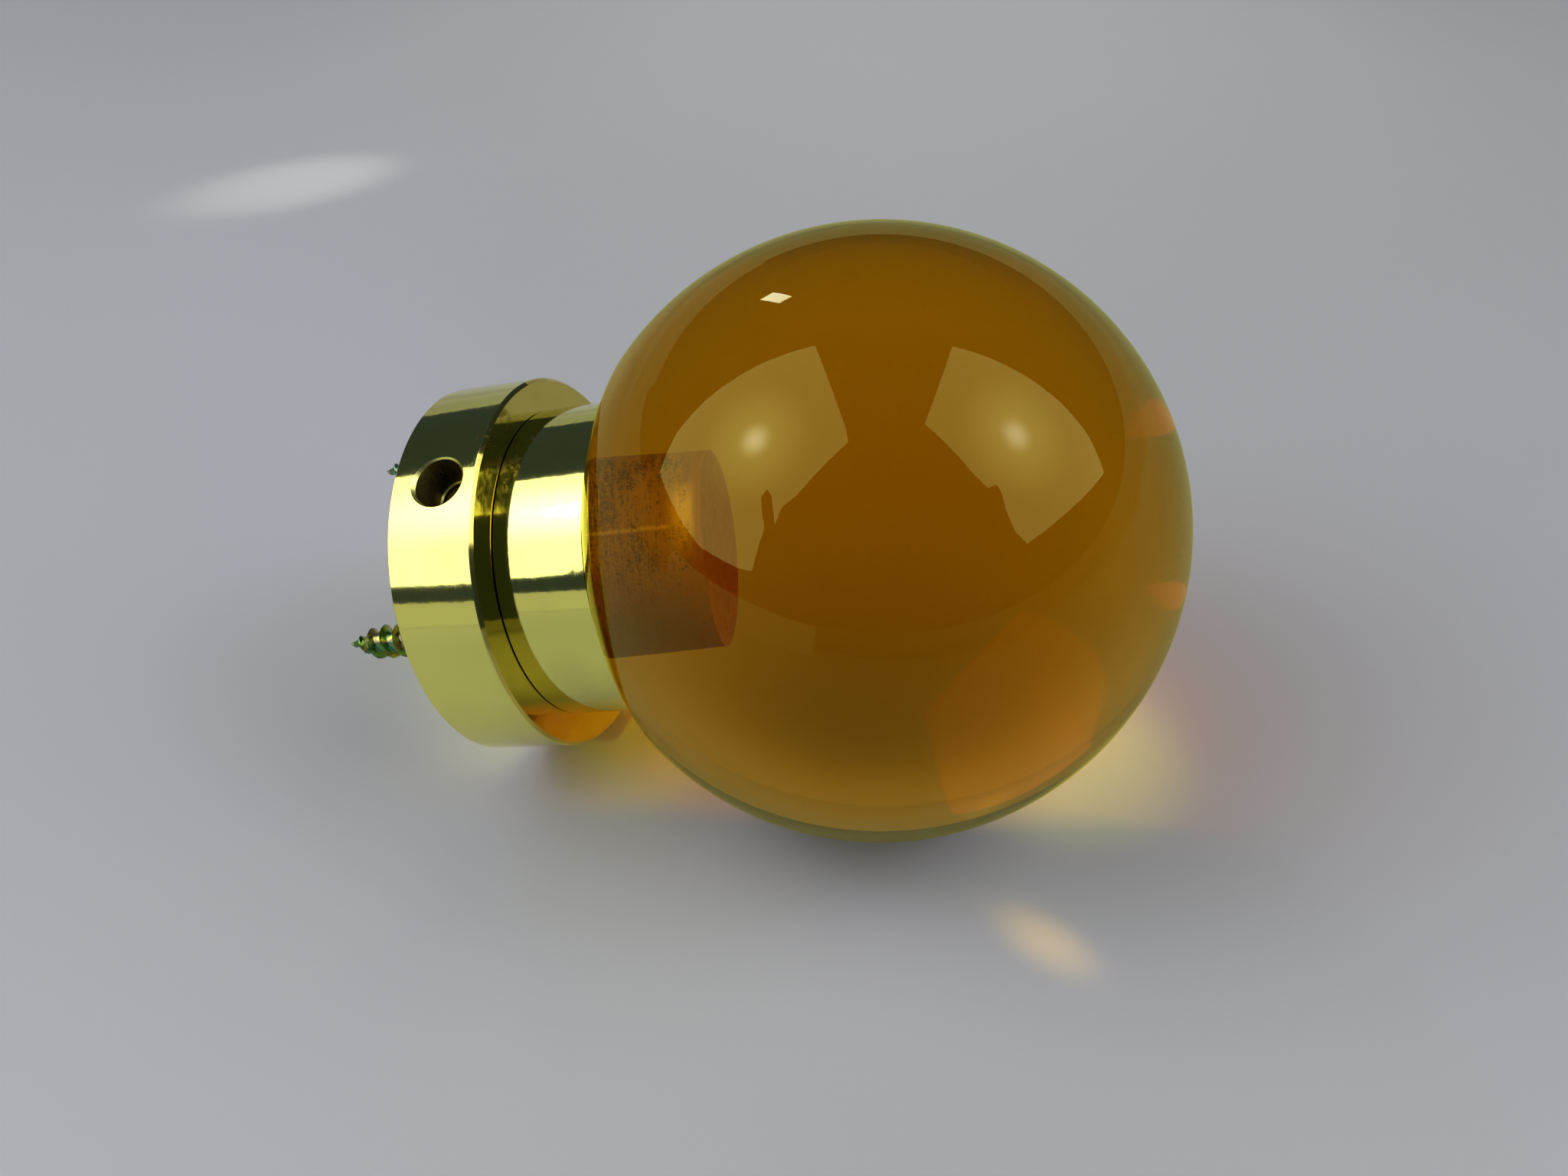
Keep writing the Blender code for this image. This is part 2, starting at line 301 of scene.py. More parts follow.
def in_rings(wire, radius, height, angle, finely, round_by=1.0):
    """A place that changes fast across the turning marks and slowly along them."""
    sockets = {0: radius * finely, 1: height * finely, 2: angle * round_by}
    return wire.node("ShaderNodeCombineXYZ", {}, sockets)


print("the pattern axis is turned by", round(90 - math.degrees(TILT), 2), "degrees")

# %% [markdown]
# ## Polished brass
# Pale brass shows mostly what stands round it, so its colour is simple: a greenish yellow that
# swallows blue. What makes it real is the surface. Hand buffing leaves it very slightly wavy, so
# reflected edges wobble, and a fine ring grain is left from the lathe. The front face of the
# rosette is painted browner and darker, a painted shade for the shaded table that it mirrors, and
# a little tarnish darkens it near its top.

# %% Polished brass for the rosette and the neck
BRASS = (0.84, 0.82, 0.19)
# painted shade: the front face's browner, darker colour stands in for the shaded table it mirrors
BRASS_FRONT_SHADED = (0.64, 0.53, 0.09)
BRASS_TARNISH = (0.30, 0.20, 0.07)
TARNISH_SPOT = (-0.0225, -0.004, FACE)
BUFFED_WAVES = 330.0  # per metre, as all scales of patterns
LATHE_RINGS = 9000.0
RELIEF = 0.016 * MM


def make_polished_brass():
    made, shader, wire = new_material("polished_brass", {"Metallic": 1.0})
    place = on_axis(wire)
    height, radius, angle = round_axis(place)
    # slow waves from the buffing wheel, and the fine grain round the axis
    waves = noise(place, BUFFED_WAVES, 2.5)
    pits = noise(place, 2600.0, 1.0)
    grain = noise(in_rings(wire, radius, height, angle, LATHE_RINGS, 2.0), 1.0, 1.0)
    # tarnish: blotches on the front face near its highest point
    off_spot = place.vector("DISTANCE", place, TARNISH_SPOT).out("Value")
    blotch = noise(place, 700.0, 4.0, 0.7)
    spots = off_spot.ramp(1.5 * MM, 7.5 * MM, 1.0, 0.0) * blotch.ramp(0.50, 0.62)
    film = noise(place, 90.0, 3.0).ramp(0.45, 0.75, 0.0, 0.12)
    # the front face, painted browner and darker as a painted shade of what it mirrors
    front_shade = height.ramp(FACE - 0.35 * MM, FACE - 0.30 * MM)
    front_shade = front_shade * height.ramp(FACE + 0.03 * MM, FACE + 0.08 * MM, 1.0, 0.0)
    clean = mix(front_shade, BRASS, BRASS_FRONT_SHADED)
    dirt = spots.math("MAXIMUM", spots * 0.8, film)
    wire.feed(shader.inputs["Base Color"], mix(dirt, clean, BRASS_TARNISH))
    dull = 0.055 + grain.ramp(0.35, 0.75, 0.0, 0.03) + blotch.ramp(0.5, 0.8, 0.0, 0.03)
    wire.feed(shader.inputs["Roughness"], dull + spots * 0.18)
    wire.feed(shader.inputs["Normal"], bumps(waves + pits * 0.02 + grain * 0.012, RELIEF))
    return made


polished_brass = make_polished_brass()
print("made", polished_brass.name, "with", len(polished_brass.node_tree.nodes), "nodes")

# %% [markdown]
# ## Turned brass, zinc and steel
# The insert in the ball is left as it came from the lathe, and the drilled holes as the drill left
# them. The wood screws are zinc plated and passivated yellow, a thin film that shines green, gold
# and pink in patches. The grub screw is black oxide, and the screw through the neck plain steel.


# %% The other metals
def make_turned_brass():
    made, shader, wire = new_material("turned_brass", {"Metallic": 1.0})
    height, radius, angle = round_axis(on_axis(wire))
    grain = noise(in_rings(wire, radius, height, angle, 6000.0), 1.0, 3.0)
    wire.feed(shader.inputs["Base Color"], mix(grain, (0.50, 0.34, 0.10), (0.72, 0.52, 0.20)))
    wire.feed(shader.inputs["Roughness"], grain.ramp(0.3, 0.8, 0.22, 0.38))
    wire.feed(shader.inputs["Normal"], bumps(grain, 0.010 * MM))
    return made


PLATING = (
    (0.00, (0.05, 0.12, 0.04)),
    (0.30, (0.16, 0.32, 0.06)),
    (0.46, (0.52, 0.52, 0.11)),
    (0.60, (0.22, 0.15, 0.08)),
    (0.74, (0.10, 0.32, 0.14)),
    (1.00, (0.22, 0.36, 0.10)),
)


def make_yellow_zinc():
    made, shader, wire = new_material("yellow_zinc", {"Metallic": 1.0})
    place = object_place(wire)
    film = noise(place, 300.0, 1.5, 0.5)
    fine = noise(place, 1700.0, 3.0)
    hue = film.ramp(0.30, 0.70, smooth=False) * 0.9 + fine * 0.1
    colour = hue.node("ShaderNodeValToRGB", {"stops": PLATING}, {0: hue})
    wire.feed(shader.inputs["Base Color"], colour)
    wire.feed(shader.inputs["Roughness"], fine.ramp(0.3, 0.7, 0.16, 0.34))
    wire.feed(shader.inputs["Normal"], bumps(fine, 0.012 * MM))
    return made


def make_cut_brass(name, dark, light, metallic):
    """Brass as the drill leaves it, neither polished nor clean."""
    constants = {"Metallic": metallic, "Specular Tint": (0.9, 0.88, 0.25, 1)}
    made, shader, wire = new_material(name, constants)
    place = on_axis(wire)
    fine = noise(place, 3000.0, 2.0)
    wire.feed(shader.inputs["Base Color"], mix(noise(place, 500.0, 3.0), light, dark))
    wire.feed(shader.inputs["Roughness"], fine.ramp(0.3, 0.7, 0.26, 0.34))
    wire.feed(shader.inputs["Normal"], bumps(fine, 0.006 * MM))
    return made


def make_plain_metal(name, dark, light, dull, metallic):
    made, shader, wire = new_material(name, {"Metallic": metallic})
    fine = noise(object_place(wire), 2200.0, 4.0, 0.6)
    wire.feed(shader.inputs["Base Color"], mix(fine, dark, light))
    wire.feed(shader.inputs["Roughness"], fine.ramp(0.3, 0.7, dull - 0.06, dull + 0.08))
    wire.feed(shader.inputs["Normal"], bumps(fine, 0.020 * MM))
    return made


drilled_brass = make_cut_brass("drilled_brass", (0.10, 0.075, 0.02), (0.30, 0.24, 0.06), 0.8)
rim_brass = make_cut_brass("rim_brass", (0.88, 0.86, 0.20), (0.92, 0.90, 0.24), 1.0)
turned_brass = make_turned_brass()
yellow_zinc = make_yellow_zinc()
OXIDE_DARK, OXIDE_LIGHT = (0.035, 0.036, 0.030), (0.09, 0.09, 0.075)
black_oxide = make_plain_metal("black_oxide", OXIDE_DARK, OXIDE_LIGHT, 0.34, 0.9)
plain_steel = make_plain_metal("plain_steel", (0.42, 0.42, 0.42), (0.62, 0.62, 0.61), 0.30, 1.0)
print("metals:", turned_brass.name, yellow_zinc.name, black_oxide.name, plain_steel.name)

# %% [markdown]
# ## Amber resin and the cement in its bore
# Clear resin is a smooth shell that bends light, filled with a dye that swallows blue first, then
# green. So the colour is a volume, not a paint: the thin edge stays pale and the middle is dark.
# The bore is different. Cement wets its wall, so there is no air to mirror the light, and the eye
# looks straight onto brown, grainy cement. The bore's faces therefore carry their own material.

# %% Amber, the cement and the lining of the bore
AMBER_CLEAR = (0.9533, 0.8547, 0.01, 1.0)
AMBER_DENSITY = 150.0
CEMENT_DARK, CEMENT_LIGHT = (0.10, 0.040, 0.012), (0.36, 0.17, 0.05)
CEMENT_PIT = (0.03, 0.012, 0.003)
UNDERSIDE = -1.30  # the angle round the bore, in radians, of its lower side
GLINT_LINE_ANGLE = -2.498  # the angle of a thin painted highlight along the bore


def make_amber():
    constants = {
        "Base Color": (1.0, 1.0, 1.0, 1.0),
        "Transmission Weight": 1.0,
        "IOR": 1.49,
        "Specular Tint": (1.0, 0.97, 0.50, 1.0),
        "Roughness": 0.0,
        # a coat that mirrors nothing, and only takes blue out of what the ball mirrors
        "Coat Weight": 0.65,
        "Coat IOR": 1.0,
        "Coat Roughness": 0.0,
        "Coat Tint": (1.0, 1.0, 0.01, 1.0),
    }
    made, shader, wire = new_material("amber_resin", constants)
    sockets = {"Color": AMBER_CLEAR, "Density": AMBER_DENSITY}
    dye = wire.node("ShaderNodeVolumeAbsorption", {}, sockets)
    wire.feed(made.node_tree.nodes["Material Output"].inputs["Volume"], dye)
    return made


def cement_patterns(wire):
    """Grain of the cement: a tone from 0 to 1, its pits, and where each point lies in the bore."""
    place = on_axis(wire)
    height, radius, angle = round_axis(place)
    sockets = {0: angle * 2.5, 1: height * 2600.0, 2: radius * 900.0}
    streaks = noise(wire.node("ShaderNodeCombineXYZ", {}, sockets), 1.0, 4.0, 0.7)
    clouds = noise(place, 170.0, 3.0, 0.6)
    grains = noise(place, 3200.0, 4.0, 0.7)
    bubbles = place.node("ShaderNodeTexVoronoi", {}, {"Vector": place, "Scale": 1100.0})
    pits = bubbles.out("Distance").ramp(0.10, 0.22, 1.0, 0.0) * clouds.ramp(0.50, 0.60)
    tone = clouds.ramp(0.35, 0.65) * 0.3 + streaks.ramp(0.35, 0.65) * 0.35
    return tone + grains.ramp(0.35, 0.65) * 0.35, pits, height, angle


def finish_cement(shader, tone, pits, colour, smoothest, roughest):
    tone.feed(shader.inputs["Base Color"], colour)
    tone.feed(shader.inputs["Roughness"], tone.ramp(0.2, 0.8, smoothest, roughest))
    tone.feed(shader.inputs["Normal"], bumps(tone - pits * 0.6, 0.15 * MM))


def make_cement():
    made, shader, wire = new_material("cement", {})
    tone, pits, _, _ = cement_patterns(wire)
    colour = mix(pits * 0.7, mix(tone, CEMENT_DARK, CEMENT_LIGHT), CEMENT_PIT)
    finish_cement(shader, tone, pits, colour, 0.42, 0.62)
    return made


def make_bore_lining():
    made, shader, wire = new_material("bore_lining", {"Metallic": 0.25})
    tone, pits, height, angle = cement_patterns(wire)
    # the upper side is rough and golden; the lower side is smooth and purple brown,
    # and its purple is a painted reflection of the table that the ball's surface mirrors
    under = (angle - UNDERSIDE).size().ramp(0.45, 1.05, 1.0, 0.0)
    golden = mix(tone.ramp(0.15, 0.70), (0.15, 0.075, 0.012), (0.50, 0.32, 0.055))
    # painted reflection: this purple brown stands in for the table mirrored by the ball's surface
    smooth = mix(tone, (0.32, 0.16, 0.13), (0.44, 0.23, 0.18))
    end = height.ramp(BORE_END - 2.6 * MM, BORE_END - 0.2 * MM)
    colour = mix(end, mix(under, golden, smooth), (0.44, 0.20, 0.05))
    # two painted highlights, painted bright yellow: a bar near the end of the bore and a thin
    # line along it, where the metal insert mirrors a lamp
    glint_bar = height.ramp(BORE_END - 3.4 * MM, BORE_END - 1.8 * MM)
    glint_bar = glint_bar * height.ramp(BORE_END - 1.2 * MM, BORE_END - 0.3 * MM, 1.0, 0.0)
    glint_bar = glint_bar * angle.ramp(-3.1, -2.75) * angle.ramp(-2.60, -2.10, 1.0, 0.0)
    glint_bar = glint_bar * tone.ramp(0.15, 0.45, 0.55, 1.0)
    glint_line = (angle - GLINT_LINE_ANGLE + (tone - 0.5) * 0.03).size().ramp(0.005, 0.035, 1.0, 0.0)
    glint_line = glint_line * height.ramp(BORE_END - 3.5 * MM, BORE_END - 1.5 * MM, 1.0, 0.0)
    glint_line = glint_line * tone.ramp(0.2, 0.5, 0.4, 1.0)
    painted_glints = glint_bar.math("MAXIMUM", glint_bar, glint_line * 0.55) * (1.0 - pits)
    pitted = mix(pits * 0.4, colour, (0.05, 0.022, 0.005))
    finish_cement(shader, tone, pits, mix(painted_glints, pitted, (1.0, 0.85, 0.08)), 0.38, 0.60)
    return made


amber_resin = make_amber()
cement = make_cement()
bore_lining = make_bore_lining()
print("the dye has a density of", AMBER_DENSITY, "per metre")

# %% [markdown]
# ## Turned pieces
# A lathe makes the rosette and the neck: a profile swept round the axis. The same profile as the
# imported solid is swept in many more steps, so that outlines and reflections are smooth. Edges
# sharper than a set angle keep their crease, as a machined edge does.


# %% Sweep a profile round the axis
def new_object(name, mesh, materials=()):
    made = bpy.data.objects.new(name, mesh)
    bpy.context.scene.collection.objects.link(made)
    for each in materials:
        mesh.materials.append(each)
    return made


def turned_mesh(name, profile, steps):
    """Sweeps (radius, height) points. Counter-clockwise ones give faces that point outwards."""
    angles = [math.tau * step / steps for step in range(steps)]
    points, rings = [], []
    for radius, height in profile:
        if radius == 0:
            rings.append([len(points)] * steps)
            points.append((0, 0, height))
        else:
            rings.append(list(range(len(points), len(points) + steps)))
            points += [(radius * math.cos(a), radius * math.sin(a), height) for a in angles]
    faces = []
    for low, high in zip(rings, rings[1:] + ([] if profile[0][0] == 0 else rings[:1])):
        for i in range(steps):
            j = (i + 1) % steps
            faces.append(list(dict.fromkeys((low[i], low[j], high[j], high[i]))))
    mesh = bpy.data.meshes.new(name)
    mesh.from_pydata(points, [], faces)
    return mesh


CREASE = math.radians(20)


def finish_piece(piece, body, node, place=TO_ROW.to_4x4()):
    """Turns the mesh into place, shades it, and hands it to its CAD body."""
    piece.data.transform(place)
    piece.data.shade_smooth()
    piece.data.set_sharp_from_angle(angle=CREASE)
    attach(piece, body)
    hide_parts(node)
    low, high = (np.array(corner) for corner in (piece.bound_box[0], piece.bound_box[6]))
    size = ((high - low) * 1000).round(1)
    print(f"{piece.name}: {len(piece.data.polygons)} faces, {size} mm, replaces {node}")


# %% [markdown]
# ## Threads by Geometry Nodes
# A thread is a rule: the radius depends only on how far the helix has climbed. A flat grid is
# rolled into a tube whose rows climb one pitch in each turn, and the rule lifts every row that
# lies on the ridge. Because the rows climb with the helix, the crest follows one line of points
# and stays crisp. At both ends the rows are pressed level, so the tube closes on its neighbours.


# %% Helpers for a geometry tree
def new_tree(name, inputs):
    """A geometry tree with these named number inputs. Returns it with a wire for each input."""
    tree = bpy.data.node_groups.new(name, "GeometryNodeTree")
    tree.interface.new_socket("Geometry", in_out="OUTPUT", socket_type="NodeSocketGeometry")
    for label, value in inputs.items():
        whole = isinstance(value, int)
        kind = "NodeSocketInt" if whole else "NodeSocketFloat"
        tree.interface.new_socket(label, in_out="INPUT", socket_type=kind).default_value = value
    source = tree.nodes.new("NodeGroupInput")
    return tree, {label: Wire(tree, source.outputs[label]) for label in inputs}


def rolled_grid(wire, columns, rows, shape):
    """A grid rolled round Z. shape turns the shares round and up into radius, height, angle."""
    sockets = {"Size X": 1.0, "Size Y": 1.0, "Vertices X": columns, "Vertices Y": rows}
    grid = wire.node("GeometryNodeMeshGrid", {}, sockets)
    spot = wire.node("ShaderNodeSeparateXYZ", {}, {0: wire.node("GeometryNodeInputPosition")})
    radius, height, turn = shape(spot.out("X") + 0.5, spot.out("Y") + 0.5)
    x, y = radius * turn.math("COSINE", turn), radius * turn.math("SINE", turn)
    place = wire.node("ShaderNodeCombineXYZ", {}, {0: x, 1: y, 2: height})
    return wire.node("GeometryNodeSetPosition", {}, {"Geometry": grid, "Position": place})


def painted(wire, geometry, paint):
    return wire.node("GeometryNodeSetMaterial", {}, {"Geometry": geometry, "Material": paint})


WELD = 0.002 * MM


def joined_parts(wire, parts):
    """Joins the parts and welds their rims."""
    joined = wire.tree.nodes.new("GeometryNodeJoinGeometry")
    for part in parts:
        wire.tree.links.new(part.socket, joined.inputs[0])
    sockets = {"Geometry": Wire(wire.tree, joined.outputs[0]), "Distance": WELD}
    return wire.node("GeometryNodeMergeByDistance", {}, sockets)


def end_tree(wire, geometry):
    real = wire.node("GeometryNodeRealizeInstances", {}, {"Geometry": geometry})
    outlet = wire.tree.nodes.new("NodeGroupOutput")
    wire.tree.links.new(real.socket, outlet.inputs[0])


def grow(tree, name):
    """The tree's result as a plain mesh, with the sizes that its named inputs start with."""
    holder = new_object(name + "_seed", bpy.data.meshes.new(name + "_seed"))
    modifier = holder.modifiers.new("grow", "NODES")
    modifier.node_group = tree
    graph = bpy.context.evaluated_depsgraph_get()
    mesh = bpy.data.meshes.new_from_object(holder.evaluated_get(graph), depsgraph=graph)
    holder.modifiers.remove(modifier)
    bpy.data.objects.remove(holder)
    mesh.name = name
    return mesh


# %% [markdown]
# ## The ball
# The ball is a sphere that leaves its round a little before the neck, where it was dressed down to
# a flat seat. Its radius is a rule of the angle, so it is grown from four rolled grids: outside,
# seat, wall of the bore and its end. Welding their rims makes one closed body of resin.


# %% The amber ball
def make_ball_tree():
    tree, given = new_tree(
        "turned_ball",
        {
            "Ball Radius": BALL_RADIUS,
            "Centre": BALL_CENTRE,
            "Seat Radius": SEAT_RADIUS,
            "Seat": SEAT,
            "Shoulder Start": SHOULDER_START,
            "Shoulder Drop": SHOULDER_DROP,
            "Bore Radius": BORE_RADIUS,
            "Bore Depth": BORE_DEPTH,
            "Columns": 385,
            "Rows": 181,
        },
    )
    wire = Wire(tree)
    seat_angle = wire.math("ARCTAN2", given["Seat Radius"], given["Centre"] - given["Seat"])
    bore_end = given["Seat"] + given["Bore Depth"]

    def outside(round_share, up_share):
        from_seat = seat_angle + (math.pi - seat_angle) * up_share
        reach = (given["Shoulder Start"] - from_seat) / (given["Shoulder Start"] - seat_angle)
        dropped = given["Shoulder Drop"] * reach.math("MAXIMUM", reach, 0.0) ** SHOULDER_POWER
        radius = given["Ball Radius"] - dropped
        ring = radius * from_seat.math("SINE", from_seat)
        height = given["Centre"] - radius * from_seat.math("COSINE", from_seat)
        return ring, height, round_share * math.tau

    def seat(round_share, up_share):
        width = given["Seat Radius"] - given["Bore Radius"]
        return given["Bore Radius"] + width * up_share, given["Seat"], round_share * math.tau

    def wall(round_share, up_share):
        height = bore_end - given["Bore Depth"] * up_share
        return given["Bore Radius"], height, round_share * math.tau

    def end(round_share, up_share):
        return given["Bore Radius"] * up_share, bore_end, round_share * math.tau

    clear = ((given["Rows"], outside, amber_resin), (6, seat, amber_resin))
    lined = ((12, wall, bore_lining), (8, end, bore_lining))
    parts = [
        painted(wire, rolled_grid(wire, given["Columns"], rows, shape), paint)
        for rows, shape, paint in clear + lined
    ]
    end_tree(wire, joined_parts(wire, parts))
    return tree


ball = new_object("ball", grow(make_ball_tree(), "ball"))
finish_piece(ball, "knob", "amber_ball")

# %% [markdown]
# ## The wood screws
# A chipboard screw has a sharp, wide thread on a thin core, which runs out into its point. The
# same rolled grid makes it, with a taper at the tip and a plain shank under a countersunk head.
# The cross in the head is cut by two wedges that cross each other.

# %% A tree for a threaded rod, and the wood screw made from it
WOOD_SCREW_LENGTH = 25.0 * MM
WOOD_HEAD_SUNK = 2.74 * MM
SHARP_FLANKS = (0.03, 0.20)  # where a ridge begins and ends, as shares of a pitch from its crest
POINT_POWER = 0.85


def thread(wire, low, high, given, flanks, rows_per_pitch):
    """A rolled grid with a helical ridge, which fades out at its ends or runs to the point."""
    core, crest, pitch = given["Core Radius"], given["Crest Radius"], given["Pitch"]
    turns = given["Turns"] + 1

    def shape(round_share, up_share):
        phase = up_share * turns
        height = low + pitch * (phase + round_share - 1.0)
        height = height.math("MAXIMUM", height, low)
        height = height.math("MINIMUM", height, high)
        off_crest = (phase.math("FRACT", phase) - 0.5).size()
        ridge = (crest - core) * off_crest.ramp(*flanks, 1.0, 0.0, smooth=False)
        ridge = ridge * height.ramp(high - pitch, high, 1.0, 0.0, smooth=False)
        if "Point Length" not in given:
            ridge = ridge * height.ramp(low, low + pitch, smooth=False)
            return core + ridge, height, round_share * math.tau
        point = (height - low) / given["Point Length"]
        point = point.math("MINIMUM", point, 1.0) ** POINT_POWER
        return (core + ridge) * point, height, round_share * math.tau

    return rolled_grid(wire, given["Columns"], turns * rows_per_pitch + 1, shape)


def band(wire, low_radius, low, high_radius, high, columns, rows):
    """A plain cone, tube or flat ring between two circles."""

    def shape(round_share, up_share):
        radius = low_radius + (high_radius - low_radius) * up_share
        return radius, low + (high - low) * up_share, round_share * math.tau

    return rolled_grid(wire, columns, rows, shape)


def lifted(wire, geometry, height, turn=0.0):
    sockets = {"Geometry": geometry, "Rotation": (0, 0, turn)}
    sockets["Translation"] = wire.node("ShaderNodeCombineXYZ", {}, {2: height})
    return wire.node("GeometryNodeTransform", {}, sockets)


def wedge_pair(wire, top, width, length, depth):
    """Two crossed wedges that narrow downwards, to cut a cross recess."""
    arms = []
    for turn in (math.pi / 4, -math.pi / 4):
        size = wire.node("ShaderNodeCombineXYZ", {}, {0: length, 1: width, 2: depth * 2.0})
        box = wire.node("GeometryNodeMeshCube", {}, {"Size": size})
        spot = wire.node("ShaderNodeSeparateXYZ", {}, {0: wire.node("GeometryNodeInputPosition")})
        x, y, z = spot.out("X"), spot.out("Y"), spot.out("Z")
        narrow = z.ramp(depth * -1.0, depth, 0.35, 1.65, smooth=False)
        sockets = {0: x * narrow, 1: y * (0.5 + narrow * 0.5), 2: z}
        place = wire.node("ShaderNodeCombineXYZ", {}, sockets)
        shaped = wire.node("GeometryNodeSetPosition", {}, {"Geometry": box, "Position": place})
        arms.append(lifted(wire, shaped, top, turn))
    return arms


def cut_away(wire, body, cutters):
    settings = {"operation": "DIFFERENCE", "solver": "EXACT"}
    left = wire.node("GeometryNodeMeshBoolean", settings, {0: body})
    for cutter in cutters:
        wire.tree.links.new(cutter.socket, left.socket.node.inputs[1])
    return left


def make_wood_screw_tree():
    tree, given = new_tree(
        "wood_screw",
        {
            "Length": WOOD_SCREW_LENGTH,
            "Crest Radius": 2.25 * MM,
            "Core Radius": 1.45 * MM,
            "Pitch": 2.0 * MM,
            "Point Length": 4.5 * MM,
            "Shank Length": 2.0 * MM,
            "Head Radius": 4.2 * MM,
            "Head Rim": 0.5 * MM,
            "Cross Width": 1.1 * MM,
            "Cross Length": 4.6 * MM,
            "Cross Depth": 1.5 * MM,
            "Columns": 65,
            "Turns": 10,
        },
    )
    wire = Wire(tree)
    columns, core, head = given["Columns"], given["Core Radius"], given["Head Radius"]
    length = given["Length"]
    rim_low = length - given["Head Rim"]
    cone_low = rim_low - (head - core)
    thread_high = cone_low - given["Shank Length"]
    parts = [
        thread(wire, 0.0, thread_high, given, SHARP_FLANKS, 16),
        band(wire, core, thread_high, core, cone_low, columns, 3),
        band(wire, core, cone_low, head, rim_low, columns, 5),
        band(wire, head, rim_low, head, length, columns, 2),
        band(wire, head, length, 0.0, length, columns, 6),
    ]
    cross = given["Cross Width"], given["Cross Length"], given["Cross Depth"]
    wedges = wedge_pair(wire, length, *cross)
    body = cut_away(wire, joined_parts(wire, parts), wedges)
    end_tree(wire, painted(wire, body, yellow_zinc))
    return tree


wood_screw_tree = make_wood_screw_tree()
tip_height = FACE - WOOD_HEAD_SUNK - WOOD_SCREW_LENGTH
for name in screw_names:
    screw = new_object(name + "_zinc", grow(wood_screw_tree, name + "_zinc"))
    stand = Matrix.Translation(screw_spots[name] + Vector((0, 0, tip_height)))
    finish_piece(screw, name, name, TO_ROW.to_4x4() @ stand)

# %% [markdown]
# ## The grub screw and the side hole
# The grub screw is an M5 socket screw, deep in the side hole, with a fine thread and a hexagon
# socket. It stands on the side hole's own axis, which the joint that backs it out gives.

# %% The grub screw
GRUB_PITCH = 0.8 * MM
GRUB_CREST = 2.2 * MM
GRUB_CORE = 1.75 * MM
GRUB_LENGTH = 10.0 * MM
GRUB_CHAMFER = 0.5 * MM
GRUB_KEY = 2.5 * MM
GRUB_KEY_DEPTH = 3.0 * MM
FINE_FLANKS = (0.06, 0.44)
HOLE_BELOW_FACE = 5.4 * MM


def make_grub_tree():
    tree, given = new_tree(
        "grub_screw",
        {
            "Length": GRUB_LENGTH,
            "Crest Radius": GRUB_CREST,
            "Core Radius": GRUB_CORE,
            "Pitch": GRUB_PITCH,
            "End Chamfer": GRUB_CHAMFER,
            "Key": GRUB_KEY,
            "Key Depth": GRUB_KEY_DEPTH,
            "Columns": 65,
            "Turns": 13,
        },
    )
    wire = Wire(tree)
    columns, core, length = given["Columns"], given["Core Radius"], given["Length"]
    face_radius = core - 0.05 * MM
    chamfer = given["End Chamfer"] * 0.2
    parts = [
        band(wire, 0.0, 0.0, face_radius, 0.0, columns, 4),
        band(wire, face_radius, 0.0, core, chamfer, columns, 2),
        thread(wire, chamfer, length - chamfer, given, FINE_FLANKS, 8),
        band(wire, core, length - chamfer, face_radius, length, columns, 2),
        band(wire, face_radius, length, 0.0, length, columns, 4),
    ]
    key_radius = given["Key"] / math.sqrt(3)
    sockets = {"Vertices": 6, "Radius Top": key_radius, "Radius Bottom": key_radius}
    sockets["Depth"] = given["Key Depth"] * 2.0
    key = wire.node("GeometryNodeMeshCone", {}, sockets)
    key = lifted(wire, key, length - given["Key Depth"])
    body = cut_away(wire, joined_parts(wire, parts), [key])
    end_tree(wire, painted(wire, body, black_oxide))
    return tree


def stand_on(way, foot):
    """The place of a piece drawn upright, so that its Z runs along way from foot."""
    side = way.cross(Vector((0, 0, 1))).normalized()
    turn = Matrix((side, way.cross(side), way)).transposed().to_4x4()
    return Matrix.Translation(foot) @ turn


hole_foot = Vector((0, 0, FACE - HOLE_BELOW_FACE))
grub_place = stand_on(hole_way, hole_foot + hole_way * SOCKET_RADIUS)
grub = new_object("grub_screw_black", grow(make_grub_tree(), "grub_screw_black"))
finish_piece(grub, "grub_screw", "grub_screw", TO_ROW.to_4x4() @ grub_place)

# %% [markdown]
# ## The neck
# The neck is one turned piece: a plain polished band, and below it a spigot that plugs into the
# rosette. Its lower edge is left almost sharp, because the seam there is so thin.

# %% The neck collar
CENTRE_HOLE = 3.3 * MM
CENTRE_SINK = 5.9 * MM
SINK_DEPTH = 3.43 * MM
LARGE_ROUND = 384

neck_profile = [
    (CENTRE_HOLE, NECK_END),
    (CENTRE_HOLE, SPIGOT_END + SINK_DEPTH),
    (CENTRE_SINK, SPIGOT_END + SINK_DEPTH - (CENTRE_SINK - CENTRE_HOLE)),
    (CENTRE_SINK, SPIGOT_END),
    (SPIGOT_RADIUS - SPIGOT_CHAMFER, SPIGOT_END),
    (SPIGOT_RADIUS, SPIGOT_END + SPIGOT_CHAMFER),
    (SPIGOT_RADIUS, NECK_START),
    (NECK_RADIUS - NECK_START_EDGE, NECK_START),
    (NECK_RADIUS, NECK_START + NECK_START_EDGE),
    (NECK_RADIUS, NECK_END - NECK_EDGE),
    (NECK_RADIUS - NECK_EDGE, NECK_END),
]
neck_mesh = turned_mesh("neck", neck_profile, LARGE_ROUND)
neck = new_object("neck", neck_mesh, [polished_brass])
finish_piece(neck, "knob", "neck_collar")

